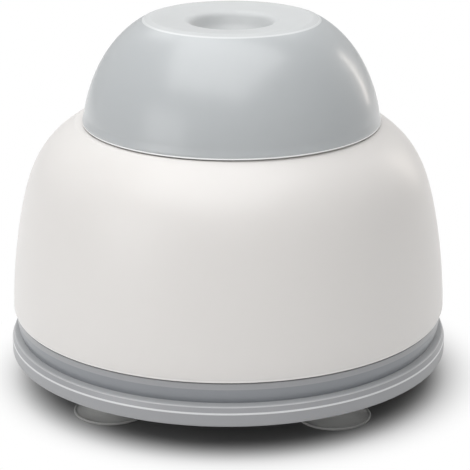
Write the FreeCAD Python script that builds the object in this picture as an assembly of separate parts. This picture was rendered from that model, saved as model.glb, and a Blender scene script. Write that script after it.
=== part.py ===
import FreeCAD, Part
import math
import os

# A small touch-to-run shaker for bottles and tubes. The bottle stands in the dish of the
# grey head. Pressing it down closes a switch under the motor, and the head then orbits on an
# eccentric pin without turning, because a rubber boot ties it to the housing.
# Millimetres. +Z is up, z = 0 is the surface it stands on, and the front faces -Y.

# Running clearances and small gaps
RUN = 0.05
SEAT = 0.02
AIR = 0.3
HOLE_GAP = 0.1

# Suction feet
foot_height = 7.7
foot_radius = 8.3
foot_rim = 0.5
foot_neck_radius = 3.4
foot_neck_height = 2.7
foot_collar_radius = 4.4
foot_collar = 0.8
foot_stem_radius = 2.4
foot_button_radius = 3.3
foot_button = 2.0
foot_cup_depth = 1.1
foot_circle_radius = 35.0
foot_count = 4
foot_turn = 41.6

# Base plate
base_radius = 50.0
base_floor = 2.5
base_height = 9.7
band_height = 2.75
band_chamfer = 0.4
ledge_rise = 0.75
ledge_inset = 1.0
flare_rise = 0.5
flare_inset = 1.3
cove_depth = 0.4
cove_rise = 1.2
flange_inset = 1.4
flange_height = 1.65
reveal_height = 0.3
reveal_depth = 0.9
register_height = 2.5
register_wall = 1.7
boss_wall = 0.7

# Housing
housing_inset = 0.6
housing_tuck = 0.4
tuck_height = 1.2
side_taper = 7.5
side_power = 1.8
shoulder_turn = 7.6
shoulder_power = 8.2
housing_wall = 2.4
deck_thickness = 2.4
deck_over_cradle = 4.1
collar_radius = 20.0
collar_wall = 2.0
collar_height = 5.0
housing_screw_radius = 1.45
housing_screw_head = 3.0
housing_screw_head_height = 2.0
housing_screw_sink = 1.0
screw_end_gap = 2.0
housing_boss_radius = 3.8
boss_under_nut = 0.94
housing_web = 2.0

# Ballast plate and control board
ballast_radius = 28.5
ballast_thickness = 2.5
ballast_screw_circle_radius = 22.0
ballast_screw_radius = 1.2
ballast_screw_head = 2.4
ballast_screw_head_height = 0.9
board_width = 26.0
board_front = -17.5
board_back = 33.0
board_thickness = 1.6
board_air = 1.2
board_screw_edge = 3.0
board_screw_radius = 1.1
board_screw_head = 2.0
board_screw_head_height = 1.2
board_screw_depth = 3.0
capacitor_radius = 4.0
capacitor_height = 11.0
component_side = 8.0
component_row = 24.0
transistor_width = 8.0
transistor_depth = 3.0
transistor_height = 11.0
transistor_lift = 1.5
terminal_spacing = 8.0
terminal_block = 3.0
terminal_block_height = 1.7

# Touch switch under the motor
switch_width = 6.0
switch_height = 3.5
plunger_radius = 1.7
plunger_proud = 1.2
plunger_depth = 1.5
press_travel = 0.25

# Motor
motor_radius = 12.2
motor_length = 30.8
can_wall = 1.0
motor_tail = 1.8
motor_tail_radius = 4.0
motor_nose = 1.5
motor_nose_radius = 5.0
endcap_flange = 1.6
endcap_spigot = 2.2
shaft_radius = 1.5
bushing_wall = 1.5
bushing_length = 3.4
magnet_share = 0.145
magnet_angle = 140.0
magnet_length = 18.0
magnet_drop = 4.0
rotor_gap = 0.33
armature_length = 16.0
pole_count = 3
pole_width = 4.0
pole_shoe_share = 0.187
pole_angle = 88.0
core_hub_share = 0.375
shoe_root = 0.2
coil_thickness = 1.5
coil_lift = 0.6
commutator_radius = 3.3
commutator_length = 2.6
brush_width = 1.8
brush_height = 1.8
brush_length = 2.0
brush_leaf = 0.4
motor_screw_circle_radius = 8.0
motor_screw_radius = 1.2
motor_screw_head = 2.3
motor_screw_head_height = 1.3
motor_screw_depth = 2.6
tab_width = 2.5
tab_thickness = 0.4
tab_length = 3.2
lead_radius = 0.6

# Carriage that the motor hangs in, and the posts it slides on
cradle_plate = 2.0
cradle_wall = 2.0
sleeve_length = 17.0
tail_cup_floor = 1.3
tail_cup_wall = 1.4
tail_cup_height = 8.5
pip_radius = 2.0
pip_length = 0.75
post_circle_radius = 24.0
post_count = 3
post_turn = 270.0
post_radius = 2.5
post_boss_radius = 5.0
post_boss_top = 26.0
lug_radius = 5.5
lug_height = 8.0
lug_drop = 7.0
lug_web = 5.0
guide_wall = 1.1
guide_flange = 0.6
guide_flange_radius = 4.6
spring_wire = 0.45
spring_turns = 5.0
stop_radius = 5.0
stop_height = 2.0
stop_screw_radius = 1.4
stop_screw_length = 8.0

# Eccentric drive
eccentricity = 1.5
rest_angle = -58.0
hub_radius = 7.0
hub_rise = 0.6
hub_height = 6.5
hub_roof = 0.6
shoulder_ring = 0.3
shoulder_ring_radius = 5.4
weight_radius = 17.0
weight_height = 4.6
weight_ring = 2.5
weight_angle = 120.0
set_screw_radius = 1.5

# Ball bearing in the head
bearing_bore = 4.0
bearing_radius = 11.0
bearing_width = 7.0
inner_ring_radius = 6.1
outer_ring_bore = 9.3
ball_radius = 1.98
ball_count = 7

# Head
head_hub_wall = 2.4
head_hub_web = 2.25
head_hub_skirt = 1.7
circlip_thickness = 1.0
circlip_inner = 9.9
circlip_grip = 0.6
circlip_gap = 60.0
lip_gap = 0.35
lip_setback = 0.95
lip_proud = 0.2
lip_height = 1.4
lip_round = 0.18
dome_over_crown = 2.6
dome_side_power = 3.2
dome_top_power = 1.6
head_height = 23.25
crown_round = 0.45
crown_land = 0.9
crown_dip = 1.2
head_wall = 2.2
dish_radius = 9.4
dish_depth = 6.0
dish_floor = 3.2
dish_round = 0.9
socket_wall = 2.2

# Rubber boot between the head and the housing
boot_thickness = 0.8
boot_cuff = 1.0
boot_cuff_height = 2.5
boot_lift = 0.4
clamp_wire = 1.0
clamp_height = 1.6

# Power inlet at the back
inlet_height = 31.0
inlet_recess = 1.5
inlet_pocket_radius = 6.2
inlet_pad_radius = 7.5
inlet_pad = 2.5
inlet_flange_radius = 5.6
inlet_flange = 1.3
inlet_barrel_radius = 3.9
inlet_barrel_length = 9.0
inlet_bore_radius = 3.2
inlet_bore_depth = 9.4
inlet_rear_radius = 4.3
inlet_rear_length = 3.5
inlet_nut_width = 10.5
inlet_nut = 2.0
inlet_pin_radius = 1.05
inlet_pin_recess = 0.6
inlet_tab_spacing = 3.0
inlet_tab_length = 1.8
lead_bend = 3.0
lead_run = 2.0

# Heights worked out from the bottom up
floor_top = foot_height + base_floor
seam = foot_height + base_height
ballast_top = floor_top + ballast_thickness
board_bottom = ballast_top + board_air
board_top = board_bottom + board_thickness
switch_top = board_top + switch_height
plunger_top = switch_top + plunger_proud
pip_bottom = plunger_top + RUN
cup_bottom = pip_bottom + pip_length
cup_top = cup_bottom + tail_cup_floor
motor_bottom = cup_top + motor_tail
motor_top = motor_bottom + motor_length
cradle_top = motor_top + cradle_plate
screw_top = cradle_top + motor_screw_head_height
deck = cradle_top + deck_over_cradle
housing_height = deck - seam
weight_bottom = screw_top + hub_rise
weight_top = weight_bottom + weight_height
hub_top = weight_bottom + hub_height
bearing_bottom = hub_top + shoulder_ring
bearing_top = bearing_bottom + bearing_width
head_hub_top = bearing_top + RUN + head_hub_web
lug_top = motor_top - lug_drop
lug_bottom = lug_top - lug_height
collar_top = deck + collar_height
lip_bottom = deck + lip_gap
crown = lip_bottom + head_height
dome_reach = head_height + dome_over_crown
dish_edge = crown - crown_dip
dish_bottom = crown - dish_depth
dish_underside = dish_bottom - dish_floor
boot_bottom = collar_top + boot_lift
boot_top = boot_bottom + boot_thickness

# Radii and places worked out from the sizes above
housing_radius = base_radius - housing_inset
flange_radius = base_radius - flange_inset
register_inner = housing_radius - housing_tuck - housing_wall - HOLE_GAP - register_wall
deck_radius = housing_radius - side_taper - shoulder_turn
lip_radius = deck_radius - lip_setback
dome_radius = lip_radius - lip_proud
housing_screw_circle_radius = register_inner - boss_wall - housing_boss_radius
housing_boss_bottom = seam - register_height - boss_wall
inlet_nut_corner = inlet_nut_width / 2 / math.cos(math.pi / 6)
housing_boss_top = inlet_height - inlet_nut_corner - boss_under_nut
magnet_thickness = magnet_share * motor_radius
armature_radius = motor_radius - can_wall - SEAT - magnet_thickness - rotor_gap
pole_shoe = pole_shoe_share * armature_radius
core_hub = core_hub_share * armature_radius
bushing_radius = shaft_radius + bushing_wall
guide_radius = post_radius + RUN + guide_wall
spring_radius = guide_radius + spring_wire
hub_outer = bearing_radius + head_hub_wall
socket_radius = hub_outer + SEAT + socket_wall
off_x = eccentricity * math.cos(math.radians(rest_angle))
off_y = eccentricity * math.sin(math.radians(rest_angle))


def point(x, y, z):
    return FreeCAD.Vector(x, y, z)


UP = point(0, 0, 1)
BACK = point(0, 1, 0)


def disc(radius, low, high, x=0.0, y=0.0):
    return Part.makeCylinder(radius, high - low, point(x, y, low), UP)


def ring(outer, inner, low, high, x=0.0, y=0.0):
    return disc(outer, low, high, x, y).cut(disc(inner, low - 1, high + 1, x, y))


def block(width, depth, low, high, x=0.0, y=0.0):
    corner = point(x - width / 2, y - depth / 2, low)
    return Part.makeBox(width, depth, high - low, corner)


def rod(radius, start, end):
    return Part.makeCylinder(radius, (end - start).Length, start, end - start)


def turned(edges_or_points, x=0.0, y=0.0):
    """Solid of revolution about a vertical axis from (radius, height) points or ready edges."""
    if isinstance(edges_or_points[0], tuple):
        corners = [point(r, 0, z) for r, z in edges_or_points]
        corners.append(corners[0])
        wire = Part.makePolygon(corners)
    else:
        wire = Part.Wire(edges_or_points)
    solid = Part.Face(wire).revolve(point(0, 0, 0), UP, 360)
    solid.translate(point(x, y, 0))
    return solid


def line(a, b):
    return Part.makeLine(point(a[0], 0, a[1]), point(b[0], 0, b[1]))


def smooth(points):
    curve = Part.BSplineCurve()
    curve.interpolate([point(r, 0, z) for r, z in points])
    return curve.toShape()


def arc(a, middle, b):
    return Part.Arc(point(a[0], 0, a[1]), point(middle[0], 0, middle[1]), point(b[0], 0, b[1])).toShape()


def turn(shape, degrees, x=0.0, y=0.0):
    copy = shape.copy()
    copy.rotate(point(x, y, 0), UP, degrees)
    return copy


def spread(count, first):
    return [first + 360.0 * i / count for i in range(count)]


def polar(radius, degrees):
    a = math.radians(degrees)
    return radius * math.cos(a), radius * math.sin(a)


def joined(shapes):
    whole = shapes[0]
    for shape in shapes[1:]:
        whole = whole.fuse(shape)
    return whole.removeSplitter()


def without(shape, tools):
    for tool in tools:
        shape = shape.cut(tool)
    return shape


def wedge(outer, inner, low, high, middle, spread_angle, x=0.0, y=0.0):
    """Part of a ring, spread_angle wide about the direction middle."""
    face_points = [(inner, low), (outer, low), (outer, high), (inner, high)]
    corners = [point(r, 0, z) for r, z in face_points]
    corners.append(corners[0])
    solid = Part.Face(Part.makePolygon(corners)).revolve(point(0, 0, 0), UP, spread_angle)
    solid.rotate(point(0, 0, 0), UP, middle - spread_angle / 2)
    solid.translate(point(x, y, 0))
    return solid


def housing_radius_at(u, radius):
    """Outer radius of the housing at the share u of its height: a gentle taper, then a turn-in."""
    return radius - side_taper * u ** side_power - shoulder_turn * u ** shoulder_power


def housing_body(radius, bottom, top, tuck):
    steps = 14
    start = tuck_height / (top - bottom)
    shares = [start + (1 - start) * i / steps for i in range(steps + 1)]
    side = [(housing_radius_at(u, radius), bottom + u * (top - bottom)) for u in shares]
    foot = (housing_radius_at(start, radius) - tuck, bottom)
    edges = [
        line((0, bottom), foot),
        line(foot, side[0]),
        smooth(side),
        line(side[-1], (0, top)),
        line((0, top), (0, bottom)),
    ]
    return turned(edges)


def dome_radius_at(height, radius, reach):
    share = min(1.0, height / reach)
    return radius * (1 - share ** dome_top_power) ** (1 / dome_side_power)


crown_radius = dome_radius_at(head_height, dome_radius, dome_reach)


def dome_body(radius, reach, bottom, top):
    steps = 12
    heights = [(top - bottom) * i / steps for i in range(steps + 1)]
    side = [(dome_radius_at(h, radius, reach), bottom + h) for h in heights]
    edges = [
        line((0, bottom), side[0]),
        smooth(side),
        line(side[-1], (0, top)),
        line((0, top), (0, bottom)),
    ]
    return turned(edges)


def foot_places():
    return [polar(foot_circle_radius, a) for a in spread(foot_count, foot_turn)]


def housing_screw_places():
    first = foot_turn + 180.0 / foot_count
    return [polar(housing_screw_circle_radius, a) for a in spread(foot_count, first)]


def post_places():
    return [polar(post_circle_radius, a) for a in spread(post_count, post_turn)]


def ballast_screw_places():
    return [polar(ballast_screw_circle_radius, a) for a in spread(post_count, post_turn + 180.0)]


def board_screw_places():
    side = board_width / 2 - board_screw_edge
    rows = (board_front + board_screw_edge, board_back - board_screw_edge)
    return [(x, y) for y in rows for x in (-side, side)]


def base_plate():
    band_top = foot_height + band_chamfer + band_height
    ledge_top = band_top + ledge_rise
    ledge_radius = base_radius - ledge_inset
    flare_top = ledge_top + flare_rise
    flare_radius = ledge_radius - flare_inset
    reveal = seam - reveal_height
    reveal_radius = flange_radius - reveal_depth
    register_outer = register_inner + register_wall
    register_top = seam + register_height
    flange_bottom = reveal - flange_height
    cove = (flare_radius - cove_depth, flare_top + cove_rise)
    outline = [
        line((0, foot_height), (base_radius - 2 * band_chamfer, foot_height)),
        line((base_radius - 2 * band_chamfer, foot_height), (base_radius, foot_height + band_chamfer)),
        line((base_radius, foot_height + band_chamfer), (base_radius, band_top)),
        line((base_radius, band_top), (ledge_radius, ledge_top)),
        line((ledge_radius, ledge_top), (flare_radius, flare_top)),
        arc((flare_radius, flare_top), cove, (flange_radius, flange_bottom)),
        line((flange_radius, flange_bottom), (flange_radius, reveal)),
        line((flange_radius, reveal), (reveal_radius, reveal)),
        line((reveal_radius, reveal), (reveal_radius, seam)),
        line((reveal_radius, seam), (register_outer, seam)),
        line((register_outer, seam), (register_outer, register_top)),
        line((register_outer, register_top), (0, register_top)),
        line((0, register_top), (0, foot_height)),
    ]
    body = turned(outline)
    body = body.cut(disc(register_inner, floor_top, register_top + 1))
    bosses = []
    holes = []
    for x, y in housing_screw_places():
        boss_radius = housing_boss_radius + boss_wall - HOLE_GAP
        bosses.append(disc(boss_radius, floor_top, housing_boss_bottom, x, y))
        holes.append(disc(housing_screw_radius + HOLE_GAP, foot_height - 1, housing_boss_bottom + 1, x, y))
        sunk = foot_height + housing_screw_sink + housing_screw_head_height
        holes.append(disc(housing_screw_head + HOLE_GAP, foot_height - 1, sunk, x, y))
    for x, y in post_places():
        bosses.append(disc(post_boss_radius, floor_top, post_boss_top, x, y))
        holes.append(disc(post_radius + SEAT, floor_top, post_boss_top + 1, x, y))
    for x, y in board_screw_places():
        bosses.append(disc(board_screw_head + boss_wall, floor_top, board_bottom, x, y))
        holes.append(disc(board_screw_radius + SEAT, floor_top, board_bottom + 1, x, y))
    for x, y in foot_places():
        holes.append(disc(foot_stem_radius + HOLE_GAP, foot_height - 1, floor_top + 1, x, y))
    for x, y in ballast_screw_places():
        holes.append(disc(ballast_screw_radius + SEAT, foot_height + boss_wall, floor_top + 1, x, y))
    return without(joined([body] + bosses), holes)


def suction_foot(x, y):
    side = [
        (0, foot_cup_depth),
        (foot_radius - foot_rim, 0),
        (foot_radius, 0),
        (foot_radius, foot_rim),
        (foot_neck_radius + foot_rim, foot_neck_height - foot_rim),
        (foot_neck_radius, foot_neck_height),
        (foot_neck_radius, foot_height - foot_collar),
        (foot_collar_radius, foot_height - foot_collar),
        (foot_collar_radius, foot_height),
        (foot_stem_radius, foot_height),
        (foot_stem_radius, floor_top),
        (foot_button_radius, floor_top),
        (foot_button_radius - foot_rim, floor_top + foot_button),
        (0, floor_top + foot_button),
    ]
    return turned(side, x, y)


def inlet_plane():
    u = (inlet_height - seam) / housing_height
    return housing_radius_at(u, housing_radius) - inlet_recess


def inlet_rod(radius, start, end):
    return rod(radius, point(0, start, inlet_height), point(0, end, inlet_height))


def housing():
    outer = housing_body(housing_radius, seam, deck, housing_tuck)
    inner = housing_body(housing_radius - housing_wall, seam, deck - deck_thickness, housing_tuck)
    body = outer.cut(inner)
    body = body.cut(disc(collar_radius + collar_wall / 2, deck - deck_thickness - 1, deck + 1))
    collar = ring(collar_radius + collar_wall, collar_radius, deck - deck_thickness, collar_top)
    parts = [body, collar]
    web_bottom = seam + register_height + HOLE_GAP
    for x, y in housing_screw_places():
        parts.append(disc(housing_boss_radius, housing_boss_bottom, housing_boss_top, x, y))
        angle = math.degrees(math.atan2(y, x))
        web_end = housing_radius - housing_tuck - housing_wall / 2
        web = Part.makeBox(web_end - housing_screw_circle_radius, housing_web, housing_boss_top - web_bottom,
                           point(housing_screw_circle_radius, -housing_web / 2, web_bottom))
        parts.append(turn(web, angle))
    face = inlet_plane()
    parts.append(inlet_rod(inlet_pad_radius, face - inlet_pad, face))
    body = joined(parts)
    holes = [
        inlet_rod(inlet_pocket_radius, face, face + 2 * inlet_pad),
        inlet_rod(inlet_barrel_radius + HOLE_GAP, face - 2 * inlet_pad, face + 1),
    ]
    for x, y in housing_screw_places():
        pilot_top = housing_boss_top - screw_end_gap / 2
        holes.append(disc(housing_screw_radius + SEAT, housing_boss_bottom - 1, pilot_top, x, y))
    return without(body, holes)


def screw(radius, head, head_height, seat, end, x, y):
    """Screw with its head standing on the height seat. Its thread ends at the height end."""
    sign = 1 if end < seat else -1
    low, high = sorted((seat, seat + sign * head_height))
    drive = disc(radius * 0.8, *sorted((seat + sign * head_height / 2, seat + sign * 2 * head_height)), x, y)
    return disc(head, low, high, x, y).cut(drive).fuse(disc(radius, *sorted((seat, end)), x, y))


def housing_screws():
    seat = foot_height + housing_screw_sink + housing_screw_head_height
    end = housing_boss_top - screw_end_gap
    return [
        screw(housing_screw_radius, housing_screw_head, housing_screw_head_height, seat, end, x, y)
        for x, y in housing_screw_places()
    ]


def ballast_plate():
    plate = disc(ballast_radius, floor_top, ballast_top)
    holes = [
        disc(post_boss_radius + HOLE_GAP, floor_top - 1, ballast_top + 1, x, y)
        for x, y in post_places()
    ]
    for x, y in board_screw_places():
        holes.append(disc(board_screw_head + boss_wall + HOLE_GAP, floor_top - 1, ballast_top + 1, x, y))
    for x, y in ballast_screw_places():
        holes.append(disc(ballast_screw_radius + HOLE_GAP, floor_top - 1, ballast_top + 1, x, y))
    return without(plate, holes)


def ballast_screws():
    end = foot_height + boss_wall + HOLE_GAP
    return [
        screw(ballast_screw_radius, ballast_screw_head, ballast_screw_head_height, ballast_top, end, x, y)
        for x, y in ballast_screw_places()
    ]


def control_board():
    middle = (board_front + board_back) / 2
    board = block(board_width, board_back - board_front, board_bottom, board_top, 0, middle)
    holes = [
        disc(board_screw_radius + HOLE_GAP, board_bottom - 1, board_top + 1, x, y)
        for x, y in board_screw_places()
    ]
    return without(board, holes)


def board_screws():
    end = board_top - board_thickness - board_screw_depth
    return [
        screw(board_screw_radius, board_screw_head, board_screw_head_height, board_top, end, x, y)
        for x, y in board_screw_places()
    ]


def board_capacitor():
    can = disc(capacitor_radius, board_top, board_top + capacitor_height, -component_side, component_row)
    groove_low = board_top + capacitor_radius / 2
    groove = ring(capacitor_radius + 1, capacitor_radius - 0.3, groove_low, groove_low + 0.8,
                  -component_side, component_row)
    return can.cut(groove)


def board_transistor():
    body = block(transistor_width, transistor_depth, board_top + transistor_lift,
                 board_top + transistor_lift + transistor_height, component_side, component_row)
    legs = [
        block(0.8, 0.6, board_top, board_top + transistor_lift, component_side + step, component_row)
        for step in (-2.3, 0.0, 2.3)
    ]
    return joined([body] + legs)


def terminal_places():
    return [(-terminal_spacing, 0.0), (terminal_spacing, 0.0)]


def board_terminals():
    return [
        block(terminal_block, terminal_block, board_top, board_top + terminal_block_height, x, y)
        for x, y in terminal_places()
    ]


def touch_switch_body():
    body = block(switch_width, switch_width, board_top, switch_top)
    pocket = disc(plunger_radius + RUN, switch_top - plunger_depth - press_travel - AIR, switch_top + 1)
    return body.cut(pocket)


def touch_switch_plunger():
    return disc(plunger_radius, switch_top - plunger_depth, plunger_top)


def guide_posts():
    hole_bottom = lug_top + HOLE_GAP - stop_screw_length
    posts = []
    for x, y in post_places():
        post = disc(post_radius, floor_top, lug_top + HOLE_GAP, x, y)
        posts.append(post.cut(disc(stop_screw_radius + SEAT, hole_bottom, lug_top + 1, x, y)))
    return posts


def stop_screws():
    seat = lug_top + HOLE_GAP
    end = seat - stop_screw_length + 1
    return [screw(stop_screw_radius, stop_radius, stop_height, seat, end, x, y) for x, y in post_places()]


def motor_cradle():
    inner = motor_radius + RUN
    outer = inner + cradle_wall
    parts = [
        ring(outer, inner, motor_top - sleeve_length, motor_top),
        disc(outer, motor_top, cradle_top),
    ]
    for angle, (x, y) in zip(spread(post_count, post_turn), post_places()):
        parts.append(disc(lug_radius, lug_bottom, lug_top, x, y))
        web = Part.makeBox(post_circle_radius - inner - cradle_wall / 2, lug_web, lug_height,
                           point(inner + cradle_wall / 2, -lug_web / 2, lug_bottom))
        parts.append(turn(web, angle))
    body = joined(parts)
    holes = [disc(motor_nose_radius + RUN, motor_top - 1, cradle_top + 1)]
    for x, y in motor_screw_places():
        holes.append(disc(motor_screw_radius + HOLE_GAP, motor_top - 1, cradle_top + 1, x, y))
    for x, y in post_places():
        holes.append(disc(guide_radius + SEAT, lug_bottom - 1, lug_top + 1, x, y))
    return without(body, holes)


def guide_bushings():
    bushes = []
    for x, y in post_places():
        tube = ring(guide_radius, post_radius + RUN, lug_bottom, lug_top, x, y)
        flange = ring(guide_flange_radius, post_radius + RUN, lug_bottom - guide_flange, lug_bottom, x, y)
        bushes.append(joined([tube, flange]))
    return bushes


def press_springs():
    low = post_boss_top + spring_wire + SEAT
    high = lug_bottom - guide_flange - spring_wire - SEAT
    springs = []
    for x, y in post_places():
        path = Part.makeHelix((high - low) / spring_turns, high - low, spring_radius)
        section = Part.Wire(Part.makeCircle(spring_wire, point(spring_radius, 0, 0), BACK))
        coil = Part.Wire(path).makePipeShell([section], True, True)
        coil.translate(point(x, y, low))
        springs.append(coil)
    return springs


def tail_cup():
    outer = motor_radius + RUN + tail_cup_wall
    cup = disc(outer, cup_bottom, cup_bottom + tail_cup_height)
    cup = cup.cut(disc(motor_radius + RUN, cup_top, cup_bottom + tail_cup_height + 1))
    cup = joined([cup, disc(pip_radius, pip_bottom, cup_bottom + tail_cup_floor / 2)])
    slots = [
        block(3 * tab_thickness + 2 * HOLE_GAP, tab_width + 1, cup_bottom - 1, cup_top + 1, x, y)
        for x, y in terminal_places()
    ]
    return without(cup, slots)


def motor_screw_places():
    return [(0.0, -motor_screw_circle_radius), (0.0, motor_screw_circle_radius)]


def motor_can():
    low = motor_bottom + endcap_flange
    can = disc(motor_radius, low, motor_top)
    can = can.cut(disc(motor_radius - can_wall, low - 1, motor_top - can_wall))
    nose = disc(motor_nose_radius, motor_top - can_wall, motor_top + motor_nose)
    can = joined([can, nose])
    holes = [disc(bushing_radius + SEAT, motor_bottom, motor_top + motor_nose + 1)]
    for x, y in motor_screw_places():
        holes.append(disc(motor_screw_radius + SEAT, motor_top - can_wall - 1, motor_top + 1, x, y))
    return without(can, holes)


def motor_screws():
    return [
        screw(motor_screw_radius, motor_screw_head, motor_screw_head_height, cradle_top,
              cradle_top - motor_screw_depth - can_wall / 2, x, y)
        for x, y in motor_screw_places()
    ]


def motor_endcap():
    rim = motor_bottom + endcap_flange
    parts = [
        disc(motor_radius, motor_bottom, rim),
        ring(motor_radius - can_wall - SEAT, motor_radius - 3 * can_wall, rim, rim + endcap_spigot),
        disc(motor_tail_radius, cup_top, rim + 0.6),
    ]
    body = joined(parts)
    holes = [disc(bushing_radius + SEAT, cup_top + 0.5, rim + endcap_spigot)]
    for x, y in terminal_places():
        holes.append(block(tab_thickness, tab_width, motor_bottom - 1, rim + 1, x, y))
    return without(body, holes)


def motor_bushings():
    rear = cup_top + 0.5
    front = motor_top + motor_nose - bushing_length
    return [
        ring(bushing_radius, shaft_radius + RUN / 2, rear, rear + bushing_length - 0.6),
        ring(bushing_radius, shaft_radius + RUN / 2, front, motor_top + motor_nose),
    ]


def magnet_bottom():
    return motor_top - can_wall - magnet_length - magnet_drop


def motor_magnets():
    outer = motor_radius - can_wall - SEAT
    low = magnet_bottom()
    return [
        wedge(outer, outer - magnet_thickness, low, low + magnet_length, side, magnet_angle)
        for side in (0.0, 180.0)
    ]


def motor_terminals():
    tabs = []
    for x, y in terminal_places():
        tab = block(tab_thickness - SEAT, tab_width - SEAT, motor_bottom - tab_length,
                    motor_bottom + endcap_flange, x, y)
        tabs.append(tab)
    return tabs


def motor_leads():
    low = board_top + terminal_block_height + press_travel + AIR
    high = motor_bottom - tab_length
    leads = []
    for x, y in terminal_places():
        joint = Part.makeCone(lead_radius, lead_radius * 1.6, lead_radius, point(x, y, high - lead_radius))
        leads.append(joined([disc(lead_radius, low, high - lead_radius, x, y), joint]))
    return leads


def brush_low():
    return motor_bottom + endcap_flange + 1.0


def motor_brushes():
    low = brush_low()
    rim = motor_bottom + endcap_flange
    shapes = []
    for side in (-1, 1):
        near = commutator_radius + RUN
        y = side * (near + brush_length / 2)
        shapes.append(block(brush_width, brush_length, low, low + brush_height, 0, y))
        y = side * (near + brush_length + brush_leaf / 2)
        shapes.append(block(brush_width, brush_leaf, rim, low + brush_height, 0, y))
    return shapes


def core_bottom():
    return magnet_bottom() + (magnet_length - armature_length) / 2


def armature_core():
    low = core_bottom()
    high = low + armature_length
    parts = [disc(core_hub, low, high)]
    for angle in spread(pole_count, 90.0):
        arm = Part.makeBox(armature_radius - pole_shoe - core_hub / 2, pole_width, armature_length,
                           point(core_hub / 2, -pole_width / 2, low))
        parts.append(turn(arm, angle))
        shoe = armature_radius - pole_shoe
        parts.append(wedge(armature_radius, shoe - shoe_root, low, high, angle, pole_angle))
    return joined(parts).cut(disc(shaft_radius + SEAT, low - 1, high + 1))


def armature_windings():
    low = core_bottom() - SEAT
    high = core_bottom() + armature_length + SEAT
    wide = pole_width + 2 * coil_thickness
    under_shoe = armature_radius - pole_shoe - shoe_root - SEAT
    coil_inner = core_hub + coil_lift
    coil_outer = math.sqrt(under_shoe ** 2 - (wide / 2) ** 2)
    deep = coil_outer - coil_inner
    x = (coil_outer + coil_inner) / 2
    coils = []
    for angle in spread(pole_count, 90.0):
        outer = block(deep, wide, low - coil_thickness, high + coil_thickness, x, 0)
        inner = block(deep + 1, pole_width + 2 * SEAT, low, high, x, 0)
        coils.append(turn(outer.cut(inner), angle))
    return coils


def commutator():
    low = brush_low() - (commutator_length - brush_height) / 2
    body = ring(commutator_radius, shaft_radius + SEAT, low, low + commutator_length)
    slits = []
    for angle in spread(pole_count, 30.0):
        corner = point(commutator_radius - 0.4, -0.125, low - 1)
        slit = Part.makeBox(1.0, 0.25, commutator_length + 2, corner)
        slits.append(turn(slit, angle))
    return without(body, slits)


def motor_shaft():
    return disc(shaft_radius, cup_top + 0.5 + SEAT, hub_top - hub_roof - SEAT)


def set_screw_line(start, end):
    height = (weight_bottom + weight_top) / 2
    x0, y0 = polar(start, rest_angle)
    x1, y1 = polar(end, rest_angle)
    return point(x0, y0, height), point(x1, y1, height)


def eccentric_hub():
    parts = [
        disc(hub_radius, weight_bottom, hub_top),
        disc(shoulder_ring_radius, hub_top, bearing_bottom, off_x, off_y),
        disc(bearing_bore - SEAT, bearing_bottom, bearing_top - AIR, off_x, off_y),
    ]
    body = joined(parts)
    bore = disc(shaft_radius + SEAT, weight_bottom - 1, hub_top - hub_roof)
    return without(body, [bore, rod(set_screw_radius + SEAT, *set_screw_line(0, 2 * hub_radius))])


def counterweight():
    inner = hub_radius + SEAT
    parts = [
        ring(hub_radius + weight_ring, inner, weight_bottom, weight_top),
        wedge(weight_radius, inner, weight_bottom, weight_top, rest_angle + 180.0, weight_angle),
    ]
    hole = rod(set_screw_radius + HOLE_GAP, *set_screw_line(0, 2 * hub_radius))
    return joined(parts).cut(hole)


def hub_set_screw():
    start, end = set_screw_line(shaft_radius + SEAT, hub_radius + weight_ring / 2)
    body = rod(set_screw_radius, start, end)
    near, far = set_screw_line(hub_radius, hub_radius + weight_ring)
    return body.cut(rod(set_screw_radius / 2, near, far))


def race(outer, inner):
    """Bearing ring with the groove that the balls run in."""
    pitch = (inner_ring_radius + outer_ring_bore) / 2
    body = ring(outer, inner, bearing_bottom, bearing_top)
    groove = Part.makeTorus(pitch, ball_radius + SEAT, point(0, 0, (bearing_bottom + bearing_top) / 2), UP)
    solid = body.cut(groove)
    solid.translate(point(off_x, off_y, 0))
    return solid


def bearing_balls():
    pitch = (inner_ring_radius + outer_ring_bore) / 2
    middle = (bearing_bottom + bearing_top) / 2
    balls = []
    for angle in spread(ball_count, rest_angle):
        x, y = polar(pitch, angle)
        balls.append(Part.makeSphere(ball_radius, point(x + off_x, y + off_y, middle)))
    return balls


def head_hub_bottom():
    return bearing_bottom - head_hub_skirt


def head_hub():
    low = head_hub_bottom()
    body = disc(hub_outer, low, head_hub_top, off_x, off_y)
    groove_top = bearing_bottom - SEAT
    holes = [
        disc(bearing_radius + SEAT, low - 1, bearing_top + RUN, off_x, off_y),
        disc(bearing_radius + circlip_grip + SEAT, groove_top - circlip_thickness - 2 * SEAT, groove_top,
             off_x, off_y),
    ]
    return without(body, holes)


def bearing_circlip():
    top = bearing_bottom - 2 * SEAT
    angle = 360.0 - circlip_gap
    return wedge(bearing_radius + circlip_grip, circlip_inner, top - circlip_thickness, top,
                 rest_angle, angle, off_x, off_y)


def rounded(shape, height, radius, size):
    """Round the circular edges of the given height and radius."""
    edges = [
        edge for edge in shape.Edges
        if abs(edge.BoundBox.ZMax - height) < 0.01 and abs(edge.BoundBox.ZMin - height) < 0.01
        and abs(edge.BoundBox.XLength / 2 - radius) < 0.05
    ]
    return shape.makeFillet(size, edges)


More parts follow.
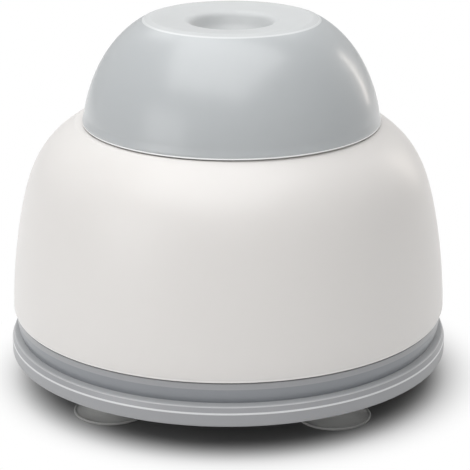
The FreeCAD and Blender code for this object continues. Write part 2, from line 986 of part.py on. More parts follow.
def dish():
    """The bowl that the bottle is pressed into and the slope around it, as a solid to cut away."""
    steps = 8
    bowl_depth = dish_edge - dish_bottom
    side = []
    for i in range(steps + 1):
        a = math.pi / 2 * i / steps
        side.append((dish_radius * math.sin(a) ** 0.8, dish_edge - bowl_depth * math.cos(a) ** 0.8))
    above = crown + 1
    rim = crown_radius - crown_land
    edges = [
        line((0, above), (0, dish_bottom)),
        smooth(side),
        line(side[-1], (rim, crown)),
        line((rim, crown), (rim, above)),
        line((rim, above), (0, above)),
    ]
    return turned(edges)


def head_shell():
    outer = dome_body(dome_radius, dome_reach, lip_bottom, crown)
    outer = rounded(outer, crown, crown_radius, crown_round)
    lip = disc(lip_radius, lip_bottom, lip_bottom + lip_height)
    lip = rounded(lip, lip_bottom + lip_height, lip_radius, lip_round)
    lip = rounded(lip, lip_bottom, lip_radius, lip_round)
    inner = dome_body(dome_radius - head_wall, dome_reach - head_wall, lip_bottom, crown - head_wall)
    shell = outer.fuse(lip).cut(inner)
    socket_bottom = boot_top + AIR
    well = disc(dish_radius + head_wall, dish_underside, crown - head_wall / 2)
    socket = ring(socket_radius, hub_outer + SEAT, socket_bottom, crown - head_wall / 2)
    floor = disc(socket_radius - socket_wall / 2, dish_underside, dish_underside + dish_floor)
    shell = shell.fuse(well).fuse(socket).fuse(floor).cut(dish())
    shell = rounded(shell, dish_edge, dish_radius, dish_round)
    shell.translate(point(off_x, off_y, 0))
    return shell


def head_boot():
    outer = collar_radius + collar_wall + SEAT
    cuff_top = boot_top + boot_cuff_height
    cuff = ring(outer + boot_cuff, outer, deck + HOLE_GAP + 2 * clamp_height / 3, boot_top)
    web = disc(outer + boot_cuff, boot_bottom, boot_top)
    neck = disc(socket_radius + RUN + boot_cuff, boot_bottom, cuff_top, off_x, off_y)
    mouth = disc(socket_radius + RUN, boot_bottom - 1, cuff_top + 1, off_x, off_y)
    return joined([cuff, web, neck]).cut(mouth)


def boot_clamp():
    inner = collar_radius + collar_wall + 2 * SEAT + boot_cuff
    low = (deck + collar_top) / 2
    return ring(inner + clamp_wire, inner, low, low + clamp_height)


def dc_inlet_body():
    face = inlet_plane()
    barrel_end = face - inlet_barrel_length
    rear_end = barrel_end - inlet_rear_length
    parts = [
        inlet_rod(inlet_flange_radius, face, face + inlet_flange),
        inlet_rod(inlet_barrel_radius, barrel_end, face + inlet_flange / 2),
        inlet_rod(inlet_rear_radius, rear_end, barrel_end),
    ]
    body = joined(parts)
    mouth = face + inlet_flange
    bore = inlet_rod(inlet_bore_radius, mouth - inlet_bore_depth, mouth + 1)
    body = body.cut(bore).cut(inlet_rod(inlet_pin_radius + SEAT, rear_end - 1, mouth))
    tabs = [
        block(1.2, inlet_tab_length, inlet_height - 1, inlet_height + 1, x, rear_end - inlet_tab_length / 2)
        for x in (-inlet_tab_spacing, inlet_tab_spacing)
    ]
    return joined([body] + tabs)


def dc_inlet_pin():
    face = inlet_plane()
    rear_end = face - inlet_barrel_length - inlet_rear_length
    return inlet_rod(inlet_pin_radius, rear_end, face + inlet_flange - inlet_pin_recess)


def dc_inlet_nut():
    face = inlet_plane()
    top = face - inlet_pad
    corners = [polar(inlet_nut_corner, a) for a in spread(6, 30.0)]
    outline = [point(x, top - inlet_nut, inlet_height + z) for x, z in corners]
    outline.append(outline[0])
    nut = Part.Face(Part.makePolygon(outline)).extrude(point(0, inlet_nut, 0))
    return nut.cut(inlet_rod(inlet_barrel_radius + SEAT, top - inlet_nut - 1, top + 1))


def inlet_leads():
    """Two wires from the inlet's tabs down to the board, each one straight run, bend and run."""
    face = inlet_plane()
    start = face - inlet_barrel_length - inlet_rear_length - inlet_tab_length
    bend_start = start - lead_run
    down = bend_start - lead_bend
    half = lead_bend * (1 - math.sqrt(0.5))
    leads = []
    for x in (-inlet_tab_spacing, inlet_tab_spacing):
        a = point(x, start, inlet_height)
        b = point(x, bend_start, inlet_height)
        middle = point(x, down + half, inlet_height - half)
        c = point(x, down, inlet_height - lead_bend)
        d = point(x, down, board_top)
        path = Part.Wire([Part.makeLine(a, b), Part.Arc(b, middle, c).toShape(), Part.makeLine(c, d)])
        section = Part.Wire(Part.makeCircle(lead_radius, a, BACK))
        leads.append(path.makePipeShell([section], True, True))
    return leads


def save(name, shape):
    if isinstance(shape, list):
        shape = Part.makeCompound(shape)
    for solid in shape.Solids:
        if not solid.isValid():
            print("not valid:", name)
    if not shape.Solids:
        print("no solid:", name)
    shape.exportStep(os.path.join("parts", name + ".step"))
    print(name, len(shape.Solids), round(shape.Volume, 1))


os.makedirs("parts", exist_ok=True)

save("base_plate", base_plate())
save("housing", housing())
save("housing_screws", housing_screws())
foot_names = ("rear_right", "rear_left", "front_left", "front_right")
for foot_name, (foot_x, foot_y) in zip(foot_names, foot_places()):
    save("suction_foot_" + foot_name, suction_foot(foot_x, foot_y))
save("ballast_plate", ballast_plate())
save("ballast_screws", ballast_screws())
save("control_board", control_board())
save("board_screws", board_screws())
save("board_capacitor", board_capacitor())
save("board_transistor", board_transistor())
save("board_terminals", board_terminals())
save("touch_switch_body", touch_switch_body())
save("touch_switch_plunger", touch_switch_plunger())
save("guide_posts", guide_posts())
save("stop_screws", stop_screws())
save("dc_inlet_body", dc_inlet_body())
save("dc_inlet_pin", dc_inlet_pin())
save("dc_inlet_nut", dc_inlet_nut())
save("inlet_leads", inlet_leads())
save("head_boot", head_boot())
save("boot_clamp", boot_clamp())
save("motor_cradle", motor_cradle())
save("guide_bushings", guide_bushings())
save("press_springs", press_springs())
save("tail_cup", tail_cup())
save("motor_can", motor_can())
save("motor_endcap", motor_endcap())
save("motor_bushings", motor_bushings())
save("motor_magnets", motor_magnets())
save("motor_brushes", motor_brushes())
save("motor_terminals", motor_terminals())
save("motor_screws", motor_screws())
save("motor_leads", motor_leads())
save("motor_shaft", motor_shaft())
save("armature_core", armature_core())
save("armature_windings", armature_windings())
save("commutator", commutator())
save("eccentric_hub", eccentric_hub())
save("counterweight", counterweight())
save("hub_set_screw", hub_set_screw())
save("bearing_inner_ring", race(inner_ring_radius, bearing_bore))
save("bearing_outer_ring", race(bearing_radius, outer_ring_bore))
save("bearing_balls", bearing_balls())
save("bearing_circlip", bearing_circlip())
save("head_hub", head_hub())
save("head_shell", head_shell())
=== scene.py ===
import math

import bmesh
import bpy
from mathutils import Matrix, Vector


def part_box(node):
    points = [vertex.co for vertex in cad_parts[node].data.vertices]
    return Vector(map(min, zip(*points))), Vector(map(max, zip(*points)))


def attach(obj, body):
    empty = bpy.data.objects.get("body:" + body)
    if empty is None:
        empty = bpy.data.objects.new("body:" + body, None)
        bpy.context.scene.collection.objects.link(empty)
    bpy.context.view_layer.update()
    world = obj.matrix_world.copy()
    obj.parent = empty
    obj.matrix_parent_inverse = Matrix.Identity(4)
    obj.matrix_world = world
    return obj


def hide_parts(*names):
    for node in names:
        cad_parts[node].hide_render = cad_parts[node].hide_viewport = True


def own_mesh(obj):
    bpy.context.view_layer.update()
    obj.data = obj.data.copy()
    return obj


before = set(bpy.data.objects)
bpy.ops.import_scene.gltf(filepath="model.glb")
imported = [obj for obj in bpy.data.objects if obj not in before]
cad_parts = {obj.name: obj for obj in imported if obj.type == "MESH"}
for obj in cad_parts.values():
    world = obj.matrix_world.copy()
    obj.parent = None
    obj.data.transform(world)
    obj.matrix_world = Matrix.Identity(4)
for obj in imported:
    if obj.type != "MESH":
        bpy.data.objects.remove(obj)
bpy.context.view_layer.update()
FOOT_NODES = [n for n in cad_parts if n.startswith("suction_foot")]
MM = 0.001

# The photograph's camera: its focal length is in pixels of the 470 pixel frame.
FRAME_PIXELS = 470
FOCAL_PIXELS = 1855
SENSOR_MM = 36.0
CAMERA_BACK = 0.40365
CAMERA_HEIGHT = 0.1683
CAMERA_PITCH = 18.47
AXIS_PIXEL = 228
NEAREST_SEEN = 0.01

# Light of the empty studio, and the floor's painted shadow, set by distance from a point beside the
# axis
WORLD_LEVEL = 0.24
GLOSSY_SHARE = 0.35
WARM_LIGHT = (1.0, 0.93, 0.86)
SHADOW_SHIFT = (1.5 * MM, 3.0 * MM, 0.0)
FLOOR_RADIUS = 3.0
# Painted shadow on the floor: darkest inside the first radius, fading to the floor's pale tone at
# the second
PAINTED_SHADOW_RADIUS = 36.0 * MM
PAINTED_SHADOW_FADE_RADIUS = 68.0 * MM
PAINTED_SHADOW_DARKEST = 0.22
FLOOR_PALE = 0.90
FLOOR_GLOW_START = 42.0 * MM
FLOOR_GLOW_END = 64.5 * MM

# Round shapes: faces around, roundings in steps of degrees, steps along curves, their spacing
AROUND = 256
FOOT_AROUND = 128
INLET_AROUND = 96
ROD_AROUND = 96
BOSS_AROUND = 64
FLOOR_AROUND = 96
ARC_STEP = 15.0
ARC_REACH = 0.49
ON_AXIS = 1e-7
COVE_STEPS = 12
SIDE_STEPS = 44
INNER_STEPS = 24
DOME_STEPS = 60
BOWL_STEPS = 24
BOWL_RIM_STEPS = 3
SKIRT_STEPS = 14
CUP_STEPS = 12
SIDE_SPACING = 1.6
DOME_SPACING = 1.3

# Edge rounding of small pieces, and how far a boss reaches into the floor it stands on
FINE_ROUND = 0.1 * MM
SMALL_ROUND = 0.2 * MM
SOFT_ROUND = 0.3 * MM
WIDE_ROUND = 0.4 * MM
FULL_ROUND = 0.8 * MM
BOSS_ROOT = 0.1 * MM

# Bands of other materials, painted highlights, painted light and painted shade, are painted beyond
# this share of a piece's radius
BAND_REACH = 0.9

# Base plate
BAND_CHAMFER = 0.4 * MM
BAND_HEIGHT = 2.75 * MM
LEDGE_RISE = 1.35 * MM
LEDGE_INSET = 0.5 * MM
FLARE_RISE = 0.35 * MM
FLARE_INSET = 1.6 * MM
# The band's top edge and the ledge's top edge carry painted highlight lines of these heights
EDGE_LINE = 0.2 * MM
EDGE_SHARE = 0.15
SOFT_EDGE_LINE = 0.16 * MM
SOFT_EDGE_SHARE = 0.05
LAND_SHARE = 0.2
FLANGE_INSET = 1.3 * MM
FLANGE_HEIGHT = 1.4 * MM
REVEAL_HEIGHT = 0.24 * MM
REVEAL_DEPTH = 0.9 * MM
COVE_POWER = 2
BASE_HEIGHT = 9.7 * MM
BASE_FLOOR = 2.5 * MM
REGISTER_HEIGHT = 2.5 * MM
REGISTER_INNER = 44.8 * MM
REGISTER_WALL = 1.7 * MM
REGISTER_GAP = 0.1 * MM
EDGE_ROUND = 0.25 * MM
FOOT_CIRCLE_RADIUS = 35.0 * MM
FOOT_TURN = 41.6
FOOT_COUNT = 4
FOOT_HOLE = 2.5 * MM
POST_CIRCLE_RADIUS = 24.0 * MM
POST_COUNT = 3
POST_TURN = 270.0
POST_BOSS_RADIUS = 5.0 * MM
POST_HOLE = 2.52 * MM
SCREW_CIRCLE_RADIUS = 40.3 * MM
SCREW_BOSS_RADIUS = 4.4 * MM
SCREW_BOSS_TOP = 6.5 * MM
SCREW_SINK = 3.0 * MM
SCREW_HEAD_HOLE = 3.1 * MM
SCREW_HOLE = 1.55 * MM

# Housing: a gentle taper and a turn-in at the shoulder
SIDE_TAPER = 7.5 * MM
SIDE_POWER = 1.8
SHOULDER_TURN = 7.6 * MM
SHOULDER_POWER = 8.2
HOUSING_INSET = 0.6 * MM
HOUSING_TUCK = 0.4 * MM
TUCK_SHARE = 0.3
TUCK_HEIGHT = 1.2 * MM
HOUSING_EDGE = 0.5 * MM
HOUSING_WALL = 2.4 * MM
COLLAR_RADIUS = 20.0 * MM
COLLAR_WALL = 2.0 * MM
COLLAR_HEIGHT = 5.0 * MM
HOUSING_BOSS_RADIUS = 3.8 * MM
HOUSING_BOSS_TOP = 6.6 * MM
HOUSING_PILOT = 1.47 * MM
HOUSING_WEB = 2.0 * MM
WEB_START = 0.9
INLET_HEIGHT = 31.0 * MM
INLET_PAD_RADIUS = 7.5 * MM
INLET_PAD = 2.5 * MM
INLET_CUT = 4 * INLET_PAD
INLET_POCKET_RADIUS = 6.2 * MM
INLET_HOLE = 4.0 * MM
INLET_FLANGE = 1.3 * MM
INLET_FLANGE_RADIUS = 5.6 * MM
INLET_BORE_RADIUS = 3.2 * MM
INLET_BORE_DEPTH = 9.4 * MM
INLET_BARREL_RADIUS = 3.9 * MM
INLET_BARREL_LENGTH = 9.0 * MM
INLET_REAR_RADIUS = 4.3 * MM
INLET_REAR_LENGTH = 3.5 * MM
INLET_PIN_RADIUS = 1.05 * MM
INLET_TAB_SPACING = 3.0 * MM
INLET_TAB_LENGTH = 1.8 * MM
INLET_TAB_SEAT = 0.2 * MM
INLET_TAB_WIDTH = 1.2 * MM
INLET_TAB_HEIGHT = 2 * MM
INLET_FLANGE_ROUND = 0.35 * MM

# Suction feet
FOOT_RIM = 0.5 * MM
FOOT_RIM_ROUND = 0.24 * MM
FOOT_SOLE_ROUND = 0.15 * MM
FOOT_RIM_RISE = 0.1 * MM
FOOT_RIM_SHARE = 0.8
FOOT_FLARE_POWER = 1.7
FOOT_RADIUS = 8.3 * MM
FOOT_NECK_RADIUS = 3.4 * MM
FOOT_NECK_HEIGHT = 2.7 * MM
FOOT_COLLAR_RADIUS = 4.4 * MM
FOOT_COLLAR = 0.8 * MM
FOOT_HEIGHT = 7.7 * MM
FOOT_STEM_RADIUS = 2.4 * MM
FOOT_BUTTON_RADIUS = 3.3 * MM
FOOT_CUP_DEPTH = 1.1 * MM

# Boot and press springs
BOOT_CUFF = 1.0 * MM
BOOT_WALL = 0.8 * MM
BOOT_NECK = 2.5 * MM
BOOT_MOUTH = 17.4 * MM
BOOT_FLANGE = 20.4 * MM
BOOT_PLAY = 0.3 * MM
BOOT_GRIP = 1.0 * MM
BOOT_SLACK = 0.04 * MM
SPRING_WIRE = 0.45 * MM
SPRING_TURNS = 5
CLOSED_TURNS = 2
CLOSED_PITCH = 1.05
WIRE_STEPS = 36
WIRE_SIDES = 12

# Head
LIP_PROUD = 0.2 * MM
LIP_LOWER = 0.07 * MM
LIP_HEIGHT = 1.4 * MM
LIP_ROUND = 0.18 * MM
LIP_SHARE = 0.6
DOME_START = 1.4
DOME_OVER_CROWN = 2.6 * MM
DOME_SIDE_POWER = 3.2
DOME_TOP_POWER = 1.6
HEAD_WALL = 2.2 * MM
CROWN_ROUND = 0.3 * MM
CROWN_DROP = 0.45 * MM
CROWN_LAND = 1.5 * MM
CROWN_BLEND = 2.0 * MM
# Height and share of the band at the crown's crease that carries the painted highlight
CREASE_LINE = 0.18 * MM
CREASE_SHARE = 0.12
CROWN_DIP = 0.8 * MM
DISH_RADIUS = 9.4 * MM
DISH_DEPTH = 6.0 * MM
DISH_FLOOR = 3.2 * MM
DISH_ROUND = 2.4 * MM
DISH_POWER = 4.3
SOCKET_INNER = 13.42 * MM
SOCKET_OUTER = 15.62 * MM
SOCKET_HEIGHT = 6.3 * MM

# Materials: the noise's range in use, and how much finer gloss patches are than colour ones
NOISE_LOW = 0.3
NOISE_HIGH = 0.7
LEAST_ROUGHNESS = 0.02
RELIEF_STRENGTH = 0.35
GLOSS_FINER = 6


def rounded(corners):
    """Outline through (radius, height, rounding) corners, each corner turned into an arc."""
    line = []
    for i, (r, z, size) in enumerate(corners):
        here = Vector((r, z))
        if size <= 0 or i in (0, len(corners) - 1):
            line.append(here)
            continue
        before = Vector(corners[i - 1][:2]) - here
        after = Vector(corners[i + 1][:2]) - here
        half = before.angle(after) / 2
        reach = min(size / math.tan(half), ARC_REACH * before.length, ARC_REACH * after.length)
        radius = reach * math.tan(half)
        inward = (before.normalized() + after.normalized()).normalized()
        centre = here + inward * (radius / math.sin(half))
        start = here + before.normalized() * reach - centre
        end = here + after.normalized() * reach - centre
        sweep = start.angle_signed(end)
        count = max(2, math.ceil(abs(math.degrees(sweep)) / ARC_STEP))
        for k in range(count + 1):
            a = -sweep * k / count
            turned = Vector((start.x * math.cos(a) - start.y * math.sin(a),
                             start.x * math.sin(a) + start.y * math.cos(a)))
            line.append(centre + turned)
    return [(p.x, p.y) for p in line]


def place_in_scene(piece):
    bpy.context.scene.collection.objects.link(piece)
    return piece


def as_object(name, mesh, smooth=False):
    """Turn a finished bmesh into an object of the scene."""
    data = bpy.data.meshes.new(name)
    mesh.to_mesh(data)
    mesh.free()
    if smooth:
        data.shade_smooth()
    return place_in_scene(bpy.data.objects.new(name, data))


def lathe(name, outline, centre=(0.0, 0.0), around=AROUND):
    """Closed turned mesh from a closed outline of (radius, height) points."""
    mesh = bmesh.new()
    rings = []
    for r, z in outline:
        if r < ON_AXIS:
            rings.append([mesh.verts.new((centre[0], centre[1], z))])
            continue
        rings.append([
            mesh.verts.new((centre[0] + r * math.cos(2 * math.pi * k / around),
                            centre[1] + r * math.sin(2 * math.pi * k / around), z))
            for k in range(around)
        ])
    pairs = list(zip(rings, rings[1:] + rings[:1]))
    for low, high in pairs:
        if len(low) == 1 and len(high) == 1:
            continue
        for k in range(around):
            n = (k + 1) % around
            if len(low) == 1:
                mesh.faces.new((low[0], high[n], high[k]))
            elif len(high) == 1:
                mesh.faces.new((low[k], low[n], high[0]))
            else:
                mesh.faces.new((low[k], low[n], high[n], high[k]))
    bmesh.ops.recalc_face_normals(mesh, faces=mesh.faces)
    return as_object(name, mesh, smooth=True)


def even_shading(piece):
    """Flat runs keep flat shading beside their rounded corners."""
    modifier = piece.modifiers.new("even_shading", "WEIGHTED_NORMAL")
    modifier.mode = "FACE_AREA_WITH_ANGLE"
    modifier.weight = 50


def cut(piece, cutter):
    """Cut one mesh out of another, for good."""
    modifier = piece.modifiers.new("cut", "BOOLEAN")
    modifier.operation = "DIFFERENCE"
    modifier.solver = "EXACT"
    modifier.object = cutter
    bpy.context.view_layer.update()
    ready = piece.evaluated_get(bpy.context.evaluated_depsgraph_get())
    data = bpy.data.meshes.new_from_object(ready)
    piece.modifiers.remove(modifier)
    old = piece.data
    piece.data = data
    bpy.data.meshes.remove(old)
    bpy.data.objects.remove(cutter)


def rod(name, radius, start, end):
    """Plain cylinder between two points, used to cut holes."""
    start, end = Vector(start), Vector(end)
    mesh = bmesh.new()
    bmesh.ops.create_cone(mesh, cap_ends=True, segments=ROD_AROUND, radius1=radius,
                          radius2=radius, depth=(end - start).length)
    piece = as_object(name, mesh)
    piece.rotation_mode = "QUATERNION"
    piece.rotation_quaternion = (end - start).to_track_quat("Z", "Y")
    piece.location = (start + end) / 2
    bpy.context.view_layer.update()
    piece.data.transform(piece.matrix_world)
    piece.location = (0, 0, 0)
    piece.rotation_quaternion = (1, 0, 0, 0)
    return piece


def block(name, size, place):
    """Box of a size, put in its place by a matrix."""
    mesh = bmesh.new()
    bmesh.ops.create_cube(mesh, size=1.0)
    mesh.transform(place @ Matrix.Diagonal((*size, 1.0)))
    return as_object(name, mesh)


def face_back(piece, place):
    """Turn a piece made about the upright axis so that it faces back, and move it to its place."""
    turn = Matrix.Rotation(math.radians(-90), 4, "X")
    piece.data.transform(Matrix.Translation(place) @ turn)


def node(tree, kind, **settings):
    made = tree.nodes.new(kind)
    for key, value in settings.items():
        setattr(made, key, value)
    return made


def noise(tree, scale, detail):
    made = node(tree, "ShaderNodeTexNoise")
    made.inputs["Scale"].default_value = scale
    made.inputs["Detail"].default_value = detail
    return made


def remap(tree, start, end, low, high, **settings):
    """Node that carries the range start to end over to low to high."""
    made = node(tree, "ShaderNodeMapRange", **settings)
    made.inputs["From Min"].default_value = start
    made.inputs["From Max"].default_value = end
    made.inputs["To Min"].default_value = low
    made.inputs["To Max"].default_value = high
    return made


def surface(name, colour, roughness, variation=0.05, patch=90.0, grain=2500.0, relief=0.01,
            rough_spread=0.06, **sockets):
    """Principled material whose colour patches, uneven gloss and fine relief come from noise."""
    made = bpy.data.materials.new(name)
    made.use_nodes = True
    tree = made.node_tree
    shader = tree.nodes["Principled BSDF"]
    place = node(tree, "ShaderNodeTexCoord")
    patches = noise(tree, patch, detail=3.0)
    ramp = node(tree, "ShaderNodeValToRGB")
    ramp.color_ramp.elements[0].position = NOISE_LOW
    ramp.color_ramp.elements[1].position = NOISE_HIGH
    ramp.color_ramp.elements[0].color = [c * (1 - variation) for c in colour] + [1.0]
    ramp.color_ramp.elements[1].color = [min(1.0, c * (1 + variation)) for c in colour] + [1.0]
    gloss = remap(tree, NOISE_LOW, NOISE_HIGH, max(LEAST_ROUGHNESS, roughness - rough_spread),
                  min(1.0, roughness + rough_spread))
    gloss_noise = noise(tree, patch * GLOSS_FINER, detail=4.0)
    fine = noise(tree, grain, detail=2.0)
    bump = node(tree, "ShaderNodeBump")
    bump.inputs["Strength"].default_value = RELIEF_STRENGTH
    bump.inputs["Distance"].default_value = relief * MM
    link = tree.links.new
    for pattern in (patches, gloss_noise, fine):
        link(place.outputs["Object"], pattern.inputs["Vector"])
    link(patches.outputs["Fac"], ramp.inputs["Fac"])
    link(ramp.outputs["Color"], shader.inputs["Base Color"])
    link(gloss_noise.outputs["Fac"], gloss.inputs["Value"])
    link(gloss.outputs["Result"], shader.inputs["Roughness"])
    link(fine.outputs["Fac"], bump.inputs["Height"])
    link(bump.outputs["Normal"], shader.inputs["Normal"])
    for socket, value in sockets.items():
        shader.inputs[socket.replace("_", " ")].default_value = value
    return made


def dress(name, made):
    """Give a CAD node its material."""
    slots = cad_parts[name].data.materials
    if len(slots) == 0:
        slots.append(made)
    for i in range(len(slots)):
        slots[i] = made


# Finishes that several materials share
SOFT_INSIDE = dict(Subsurface_Weight=0.3, Subsurface_Radius=(1.0, 1.0, 1.0))
SHELL_FINISH = dict(variation=0.006, patch=26.0, grain=3200.0, relief=0.003, rough_spread=0.012)
BASE_FINISH = dict(variation=0.01, patch=40.0, grain=2600.0, relief=0.003, rough_spread=0.015)
# Finish of the painted highlight lines on the base
PAINTED_HIGHLIGHT_FINISH = dict(variation=0.03, patch=60.0, grain=2600.0, relief=0.002, rough_spread=0.015)
DOME_FINISH = dict(patch=45.0, grain=2200.0, relief=0.002, rough_spread=0.012)

WHITE_SHELL = surface("white_shell", (0.635, 0.618, 0.602), 0.38, **SHELL_FINISH, **SOFT_INSIDE,
                      Subsurface_Scale=0.0015)
# Painted highlight: a lighter copy of white_shell for the housing's bottom edge
HOUSING_EDGE_PAINTED_HIGHLIGHT = surface("white_edge_painted_highlight", (0.72, 0.705, 0.69), 0.34, **SHELL_FINISH)
GREY_BASE = surface("grey_base", (0.283, 0.287, 0.297), 0.36, **BASE_FINISH)
# Painted shade: a darker copy of grey_base for the groove under the flange
GROOVE_PAINTED_SHADE = surface("grey_groove_painted_shade", (0.215, 0.226, 0.242), 0.36, **BASE_FINISH)
# Painted light: a lighter copy of grey_base for the land above the ledge
LAND_PAINTED_LIGHT = surface("grey_land_painted_light", (0.355, 0.362, 0.372), 0.36, **BASE_FINISH)
# Painted highlight: a light line along the band's top edge
BAND_EDGE_PAINTED_HIGHLIGHT = surface("grey_band_edge_painted_highlight", (0.58, 0.585, 0.595), 0.30, **PAINTED_HIGHLIGHT_FINISH)
# Painted highlight: a softer light line along the ledge's top edge
LEDGE_EDGE_PAINTED_HIGHLIGHT = surface("grey_ledge_edge_painted_highlight", (0.43, 0.435, 0.445), 0.30, **PAINTED_HIGHLIGHT_FINISH)
GREY_HEAD = surface("grey_head", (0.400, 0.418, 0.428), 0.36, variation=0.008, **DOME_FINISH,
                    **SOFT_INSIDE, Subsurface_Scale=0.003, Coat_Weight=0.35, Coat_Roughness=0.19)
# Matt crown and dish; the colour is also painted lighter than grey_head, as light falls on the top
MATT_CROWN_PAINTED_LIGHT = surface("matt_crown_painted_light", (0.460, 0.472, 0.476), 0.50, variation=0.01, patch=60.0,
                     grain=2200.0, relief=0.004, rough_spread=0.02, **SOFT_INSIDE,
                     Subsurface_Scale=0.003)
# Painted highlight: a light line along the crown's crease
CREASE_PAINTED_HIGHLIGHT = surface("head_crease_painted_highlight", (0.54, 0.555, 0.56), 0.30, variation=0.01, **DOME_FINISH)
# Painted highlight: a nearly white line along the lip's bottom edge
LIP_EDGE_PAINTED_HIGHLIGHT = surface("head_lip_edge_painted_highlight", (0.88, 0.89, 0.89), 0.30, variation=0.01, **DOME_FINISH)
CLEAR_VINYL = surface("clear_vinyl", (0.84, 0.84, 0.82), 0.22, variation=0.02, patch=200.0,
                      grain=1500.0, relief=0.006, rough_spread=0.03, Transmission_Weight=0.2,
                      IOR=1.45)
BLACK_PLASTIC = surface("black_plastic", (0.028, 0.028, 0.03), 0.42, variation=0.15)
NATURAL_PLASTIC = surface("natural_plastic", (0.72, 0.69, 0.60), 0.45)
BLACK_RUBBER = surface("black_rubber", (0.02, 0.02, 0.021), 0.62, variation=0.2, relief=0.03)
ZINC_STEEL = surface("zinc_steel", (0.60, 0.61, 0.62), 0.34, Metallic=1.0, rough_spread=0.1)
BEARING_STEEL = surface("bearing_steel", (0.68, 0.68, 0.69), 0.14, Metallic=1.0, relief=0.002)
PIN_STEEL = surface("pin_steel", (0.42, 0.41, 0.39), 0.40, Metallic=1.0, rough_spread=0.1)
SPRING_STEEL = surface("spring_steel", (0.36, 0.36, 0.37), 0.28, Metallic=1.0)
BRASS = surface("brass", (0.72, 0.52, 0.22), 0.26, Metallic=1.0)
BRONZE = surface("sintered_bronze", (0.47, 0.29, 0.13), 0.46, Metallic=1.0, relief=0.03)
ALUMINIUM = surface("aluminium", (0.74, 0.745, 0.76), 0.30, Metallic=1.0)
COPPER = surface("copper_wire", (0.62, 0.27, 0.12), 0.28, Metallic=1.0)
FERRITE = surface("ferrite", (0.05, 0.05, 0.055), 0.55, variation=0.2)
BOARD = surface("board_mask", (0.012, 0.11, 0.045), 0.30, variation=0.25, patch=400.0)
SLEEVE = surface("capacitor_sleeve", (0.012, 0.02, 0.06), 0.22, variation=0.1)
WIRE_RED = surface("wire_red", (0.42, 0.02, 0.015), 0.38, variation=0.08)

NODE_LOOKS = {
    WHITE_SHELL: ["housing"],
    GREY_BASE: ["base_plate"],
    GREY_HEAD: ["head_shell"],
    CLEAR_VINYL: FOOT_NODES,
    BLACK_PLASTIC: ["motor_cradle", "tail_cup", "touch_switch_body", "dc_inlet_body",
                    "board_transistor"],
    NATURAL_PLASTIC: ["guide_bushings", "motor_endcap", "board_terminals", "touch_switch_plunger"],
    BLACK_RUBBER: ["head_boot"],
    ZINC_STEEL: ["housing_screws", "ballast_plate", "ballast_screws", "board_screws", "guide_posts",
                 "stop_screws", "motor_can", "motor_screws", "dc_inlet_nut", "armature_core"],
    BEARING_STEEL: ["bearing_inner_ring", "bearing_outer_ring", "bearing_balls", "motor_shaft"],
    PIN_STEEL: ["dc_inlet_pin"],
    SPRING_STEEL: ["boot_clamp", "press_springs", "hub_set_screw", "bearing_circlip"],
    BRASS: ["counterweight"],
    BRONZE: ["motor_bushings"],
    ALUMINIUM: ["eccentric_hub", "head_hub"],
    COPPER: ["armature_windings", "commutator", "motor_brushes", "motor_terminals"],
    FERRITE: ["motor_magnets"],
    BOARD: ["control_board"],
    SLEEVE: ["board_capacitor"],
    WIRE_RED: ["inlet_leads", "motor_leads"],
}


def housing_radius_at(share, radius):
    return radius - SIDE_TAPER * share ** SIDE_POWER - SHOULDER_TURN * share ** SHOULDER_POWER


def dome_radius_at(height, radius, reach):
    return radius * (1 - (height / reach) ** DOME_TOP_POWER) ** (1 / DOME_SIDE_POWER)


def around_axis(count, first, radius):
    angles = [math.radians(first + 360.0 * i / count) for i in range(count)]
    return [(radius * math.cos(a), radius * math.sin(a)) for a in angles]


def screw_places():
    return around_axis(FOOT_COUNT, FOOT_TURN + 180.0 / FOOT_COUNT, SCREW_CIRCLE_RADIUS)


def centre_of(low, high):
    return (low.x + high.x) / 2, (low.y + high.y) / 2


def tube(name, outer, inner, low, high, centre, edge=SMALL_ROUND):
    """Turned ring, such as a screw boss."""
    corners = [
        (inner, low, 0.0),
        (outer, low, edge),
        (outer, high, edge),
        (inner, high, edge),
        (inner, low, 0.0),
    ]
    return lathe(name, rounded(corners)[:-1], centre, BOSS_AROUND)


def join(piece, others):
    """Put the meshes of others into piece."""
    mesh = bmesh.new()
    mesh.from_mesh(piece.data)
    for other in others:
        mesh.from_mesh(other.data)
        data = other.data
        bpy.data.objects.remove(other)
        bpy.data.meshes.remove(data)
    mesh.to_mesh(piece.data)
    mesh.free()
    piece.data.shade_smooth()


def paint_band(piece, look, low, high, beyond, within=1.0):
    """Paint the faces between two heights and between two radii about the piece's middle."""
    piece.data.materials.append(look)
    index = len(piece.data.materials) - 1
    middle = sum((Vector(corner) for corner in piece.bound_box), Vector()) / 8
    for face in piece.data.polygons:
        away = face.center - middle
        if low < face.center.z < high and beyond < math.hypot(away.x, away.y) < within:
            face.material_index = index


def finish(piece, look, body, cad_name, bands=()):
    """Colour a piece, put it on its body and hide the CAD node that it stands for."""
    even_shading(piece)
    piece.data.materials.clear()
    piece.data.materials.append(look)
    for band in bands:
        paint_band(piece, *band)
    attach(piece, body)
    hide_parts(cad_name)


